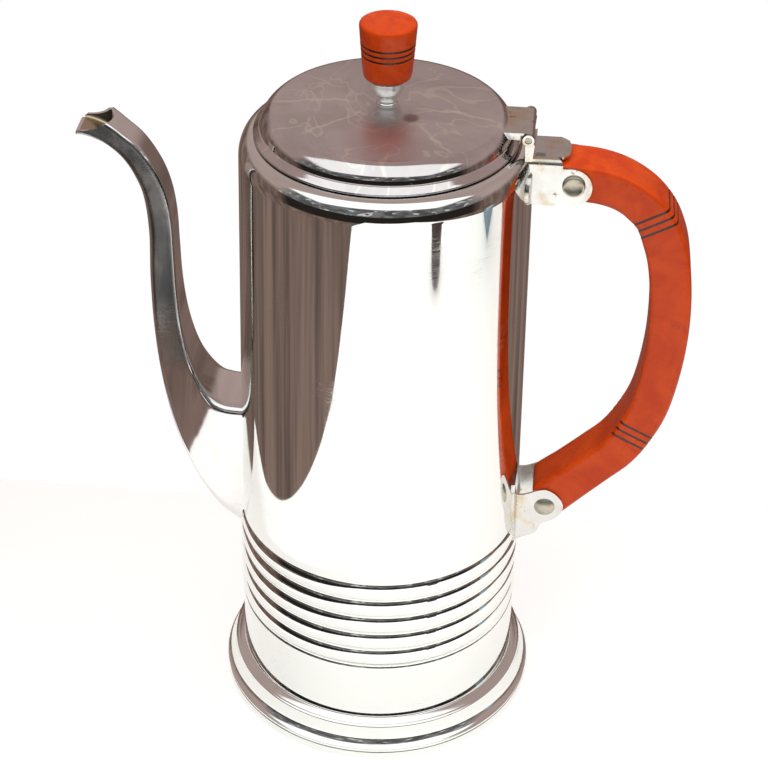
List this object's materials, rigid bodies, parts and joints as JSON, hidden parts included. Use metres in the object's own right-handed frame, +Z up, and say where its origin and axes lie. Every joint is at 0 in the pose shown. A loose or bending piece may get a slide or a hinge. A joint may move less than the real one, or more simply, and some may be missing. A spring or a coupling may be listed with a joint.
{
  "type": "coffee pot",
  "caption": "Tall chromed coffee pot with a ribbed lower wall, a swan-neck spout, a hinged lid with a resin knob and a riveted resin handle.",
  "frame": {"origin": "on the body's axis at the underside of the foot, where the pot stands", "axes": "+Z up along the body's axis, +X towards the handle, -X towards the spout, hinge pin along Y"},
  "size_m": [0.205, 0.1144, 0.2643],
  "materials": {
    "chrome": "polished plate with fine scratches",
    "steel": "dull, a little stained",
    "amber_resin": "cast resin, polished",
    "black_enamel": "filled line"
  },
  "bodies": {
    "pot": {"body_shell": "chrome", "base_plate": "chrome", "foot_ring": "chrome", "spout": "chrome", "hinge_pin": "steel", "hinge_bracket": "chrome", "upper_bracket": "chrome", "lower_bracket": "chrome", "handle": "amber_resin", "handle_lines_upper": "black_enamel", "handle_lines_lower": "black_enamel", "upper_rivet": "steel", "lower_rivet": "steel"},
    "lid": {"lid_shell": "chrome", "lid_skirt": "chrome", "lid_knob": "amber_resin", "knob_rings": "black_enamel", "knob_ferrule": "chrome", "knob_screw": "steel", "knob_washer": "steel", "hinge_leaf": "chrome"}
  },
  "joints": [
    {"name": "lid_hinge", "type": "hinge", "parent": "pot", "child": "lid", "pos_m": [0.046, 0, 0.2306], "axis": [0, 1, 0], "range_deg": [0, 105]}
  ]
}
